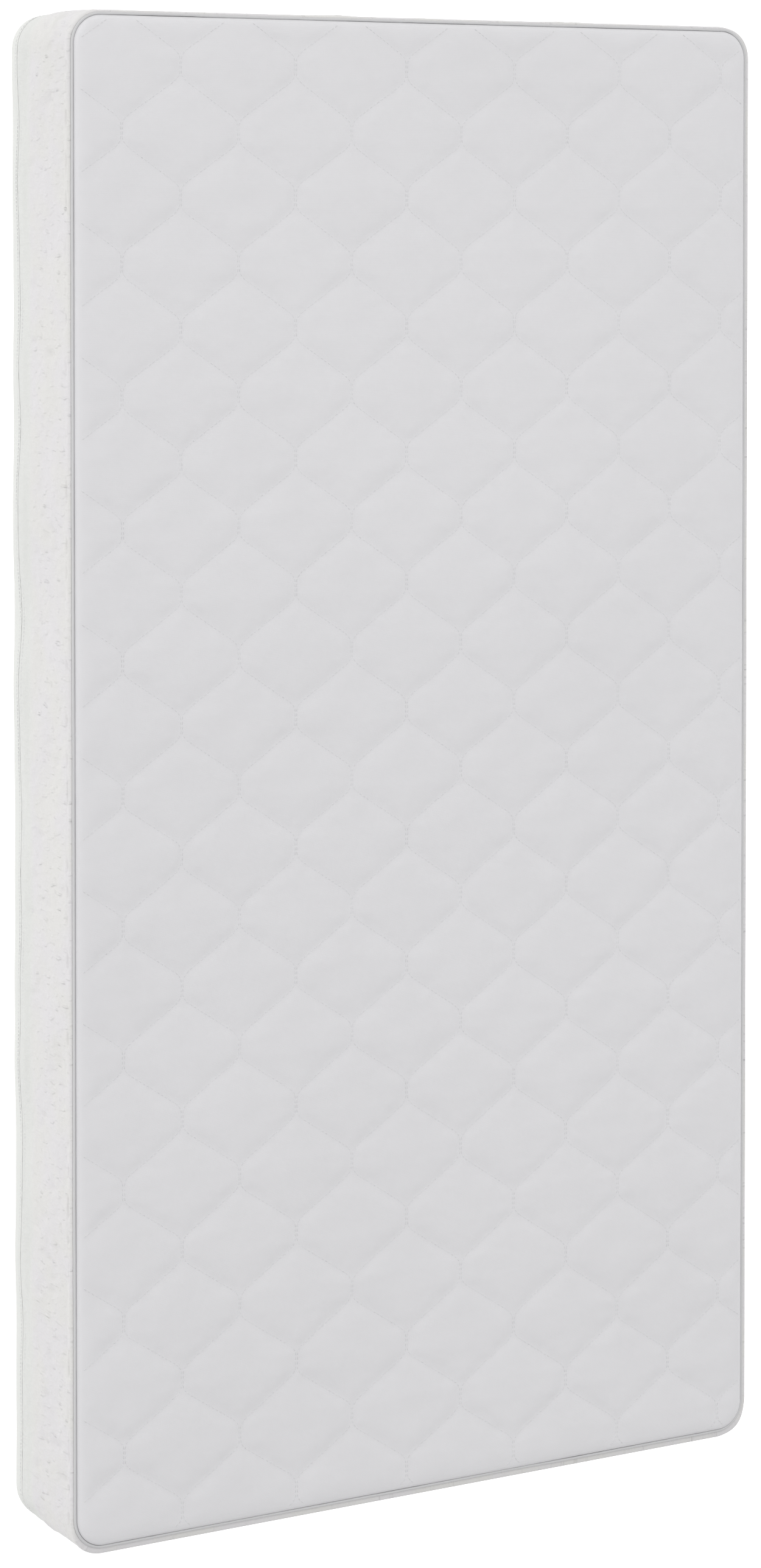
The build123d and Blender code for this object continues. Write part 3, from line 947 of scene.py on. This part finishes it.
def foamBlock(name, node, roundTop, roundBottom):
    # a sawn slab whose edges are eased a little, with a slow saw ripple down its sides
    low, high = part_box(node)
    z = np.linspace(high.z - roundTop, low.z + roundBottom, 7)
    profile = [(0, high.z), (12 * mm, high.z), (coreReach - roundTop, high.z),
               (coreReach - roundTop * 0.3, high.z - roundTop * 0.3)]
    profile += [(coreReach - hair * math.sin(9 * k), zz) for k, zz in enumerate(z)]
    profile += [(coreReach - roundBottom, low.z)]
    return drapedPiece(name, 20 * mm, profile)


memoryFoamLayer = foamBlock("memoryFoamLayer", "memory_foam", 2.5 * mm, 0.4 * mm)
finished(memoryFoamLayer, "memoryFoam", "foam_core", "memory_foam", "memory_foam")
supportFoamLayer = foamBlock("supportFoamLayer", "support_foam", 0.4 * mm, 2.5 * mm)
finished(supportFoamLayer, "supportFoam", "foam_core", "support_foam", "support_foam")
glueLow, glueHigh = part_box("glue_film")
glueReach = coreReach - 0.6 * mm
glueProfile = [(0, glueHigh.z), (12 * mm, glueHigh.z), (glueReach, glueHigh.z), (glueReach, glueLow.z)]
finished(drapedPiece("glueFilm", 40 * mm, glueProfile), "glueFilm", "foam_core", "glue", "glue_film")
print("foam core done")

zipParts = {
    "pitch": 1.5 * mm,
    "wire": 0.42 * mm,
    "turnPoints": 7,
    "acrossRound": 0.56 * mm,   # the coil's half width, to the wire's middle
    "upRound": 0.62 * mm,
    "opening": 7.6 * mm,        # how far the coil is open on each side of the parked slider
}
sliderLow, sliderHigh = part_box("slider_body")
parkY = (sliderLow.y + sliderHigh.y) / 2
openLow, openHigh = parkY - zipParts["opening"], parkY + zipParts["opening"]


def coilPiece(name, node, firstY, lastY):
    # a nylon wire wound in a flattened helix along the zip, all the way round from one place to another
    low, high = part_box(node)
    reach, height = high.x - coreX - 0.8 * mm, (low.z + high.z) / 2
    feet, ways, run = aroundPlan(2 * mm)
    whole = run[-1] + 2 * mm
    start, stop = firstY + coreY, lastY + coreY
    stepRun = zipParts["pitch"] / zipParts["turnPoints"]
    s = np.arange(start, stop + whole, stepRun)
    fine = np.append(run, whole)

    def along(values):
        return pointsAt(np.concatenate([values, values[:1]]), fine, s % whole)

    foot, way = along(feet), unit(along(ways))
    turn = 2 * math.pi * np.arange(len(s)) / zipParts["turnPoints"]
    offR, offZ = zipParts["acrossRound"] * np.cos(turn), zipParts["upRound"] * np.sin(turn)
    path = np.concatenate([foot + way * (reach + offR)[:, None], (height + offZ)[:, None]], -1)
    tangent = unit(np.gradient(path, axis=0))
    outward = np.concatenate([way * np.cos(turn)[:, None], np.sin(turn)[:, None]], -1)
    outward = unit(outward - tangent * (outward * tangent).sum(1)[:, None])
    side = np.cross(tangent, outward)
    angle = np.arange(4) * math.pi / 2
    ring = times(np.cos(angle), outward) + times(np.sin(angle), side)
    points = path[:, None, :] + zipParts["wire"] / 2 * ring
    count = len(path)
    quads = gridQuads(count, 4, closeColumns=True)[:, ::-1]
    last = 4 * (count - 1)
    ends = [(0, 1, 2, 3), (last + 3, last + 2, last + 1, last)]
    return meshObject(name, points.reshape(-1, 3), quads, ends)


upperCoil = coilPiece("zipCoilUpper", "zip_coil_upper", openHigh, openLow)
finished(upperCoil, "zipCoil", "top_cover", "zip_coil", "zip_coil_upper")
lowerCoil = coilPiece("zipCoilLower", "zip_coil_lower", openLow + 0.5 * mm, openLow - 0.5 * mm)
finished(lowerCoil, "zipCoil", "base_cover", "zip_coil", "zip_coil_lower")
for tapeName, tapeNode, tapeBody, sewnTo in (("zipTapeUpper", "zip_tape_upper", "top_cover", "borderCover"),
                                             ("zipTapeLower", "zip_tape_lower", "base_cover", "baseBand")):
    tape = finished(strip(tapeName, tapeNode, 7 * mm, 5), "zipTape", tapeBody, "zip_tape", tapeNode)


def castPiece(name, node, bevel):
    # a small cast part: the CAD shape merged into one skin, with its edges eased
    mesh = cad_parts[node].data.copy()
    mesh.name = name
    piece = newObject(name, mesh)
    skin = bmesh.new()
    skin.from_mesh(mesh)
    bmesh.ops.remove_doubles(skin, verts=skin.verts, dist=1e-6)
    bmesh.ops.dissolve_limit(skin, angle_limit=math.radians(2), verts=skin.verts, edges=skin.edges)
    skin.to_mesh(mesh)
    skin.free()
    ease = piece.modifiers.new("ease", "BEVEL")
    ease.width = bevel
    ease.segments = 2
    ease.limit_method = "ANGLE"
    ease.angle_limit = math.radians(35)
    mesh.polygons.foreach_set("use_smooth", np.ones(len(mesh.polygons), bool))
    return piece


for castName, castNode, castBody, bevel in (("sliderBody", "slider_body", "zip_slider", 0.14 * mm),
                                            ("sliderCrown", "slider_crown", "zip_slider", 0.1 * mm),
                                            ("pullTab", "pull_tab", "zip_pull", 0.22 * mm),
                                            ("zipStop", "zip_stop", "base_cover", 0.03 * mm)):
    finished(castPiece(castName, castNode, bevel), "zipMetal", castBody, "zip_metal", castNode)
print("zip done")

hemThread = {"pitch": 3.4 * mm, "length": 2.6 * mm, "thick": 0.4 * mm, "sink": 0.35 * mm, "fromHem": 3.6 * mm,
             "lapStand": 0.42 * mm, "stand": 0.22 * mm}


def seamStitches(name, body, slotName, reach, height):
    # a row of stitches all the way round, lying on a face that looks outward
    feet, ways, run = aroundPlan(1 * mm)
    at = np.arange(0, run[-1] - hemThread["pitch"], hemThread["pitch"])
    foot, way = pointsAt(feet, run, at), unit(pointsAt(ways, run, at))
    flat = np.zeros((len(at), 1))
    stand = reach + hemFill(at[:, None], way, flat + height)
    places = np.concatenate([foot + way * stand, flat + height], -1)
    tangents = np.concatenate([-way[:, 1:], way[:, :1], flat], -1)
    piece = stitchesAlong(name, places, tangents, np.concatenate([way, flat], -1), hemThread["length"],
                          hemThread["thick"], hemThread["sink"])
    return finished(piece, "stitchThread", body, slotName)


seamStitches("hemStitchesUpper", "top_cover", "border_knit", hemReach + hemThread["lapStand"],
             hemHigh + hemThread["fromHem"])
seamStitches("hemStitchesLower", "base_cover", "band_knit", hemReach + hemThread["stand"],
             hemLow - hemThread["fromHem"])

label = {"wide": 45 * mm, "tall": 17 * mm, "thick": 0.14 * mm, "bow": 0.5 * mm}
labelLow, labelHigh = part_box("care_label")


def labelPiece():
    # a satin strip folded in two: down from the hem, round the fold and up again, bowed a little across
    middleX = (labelLow.x + labelHigh.x) / 2
    u = np.linspace(-0.5, 0.5, 19)
    foldLow, top = labelLow.z, labelHigh.z
    path = alongArc([(0, top), (-0.12 * mm, top - 5 * mm), (-0.25 * mm, foldLow + 1.0 * mm),
                     (-0.55 * mm, foldLow + 0.15 * mm), (-0.85 * mm, foldLow + 1.0 * mm),
                     (-0.75 * mm, top - 5 * mm), (-0.35 * mm, top)], 30)
    u, k = np.meshgrid(u, np.arange(len(path)), indexing="ij")
    hang = (top - path[k, 1]) / label["tall"]
    px = middleX + u * label["wide"]
    back = labelHigh.y - border["hemFill"] - border["hemSway"]
    py = back + path[k, 0] - label["bow"] * hang ** 2 * (0.5 + u) ** 2
    points = np.stack([px, py, path[k, 1]], -1).reshape(-1, 3)
    piece = meshObject("careLabel", points, gridQuads(*px.shape))
    thickness = piece.modifiers.new("thickness", "SOLIDIFY")
    thickness.thickness = label["thick"]
    thickness.offset = 0
    return piece


careLabel = finished(labelPiece(), "labelSatin", "base_cover", "label", "care_label")
print("stitches and label done")

ground = {"half": 30.0, "below": 0.5 * mm}
groundCorners = [(x * ground["half"], y * ground["half"], -ground["below"])
                 for x, y in ((-1, -1), (1, -1), (1, 1), (-1, 1))]
floorMesh = bpy.data.meshes.new("floor")
floorMesh.from_pydata(groundCorners, [], [(0, 1, 2, 3)])
floor = newObject("floor", floorMesh)
paper = bpy.data.materials.new("paleFloor")
paper.use_nodes = True
paperShader = paper.node_tree.nodes["Principled BSDF"]
paperShader.inputs["Base Color"].default_value = (0.3, 0.3, 0.3, 1)
paperShader.inputs["Roughness"].default_value = 1.0
paperShader.inputs["Emission Color"].default_value = (1, 1, 1, 1)
paperShader.inputs["Emission Strength"].default_value = studio["floorGlow"]
paperNodes = Nodes(paper.node_tree)
paperSides = paperNodes.add("ShaderNodeMixShader")   # clear from below, to show the base from there
for come, to in ((paperNodes.add("ShaderNodeNewGeometry").outputs["Backfacing"], paperSides.inputs[0]),
                 (paperShader.outputs[0], paperSides.inputs[1]),
                 (paperNodes.add("ShaderNodeBsdfTransparent").outputs[0], paperSides.inputs[2]),
                 (paperSides.outputs[0], paper.node_tree.nodes["Material Output"].inputs["Surface"])):
    paperNodes.plug(come, to)
floorMesh.materials.append(paper)
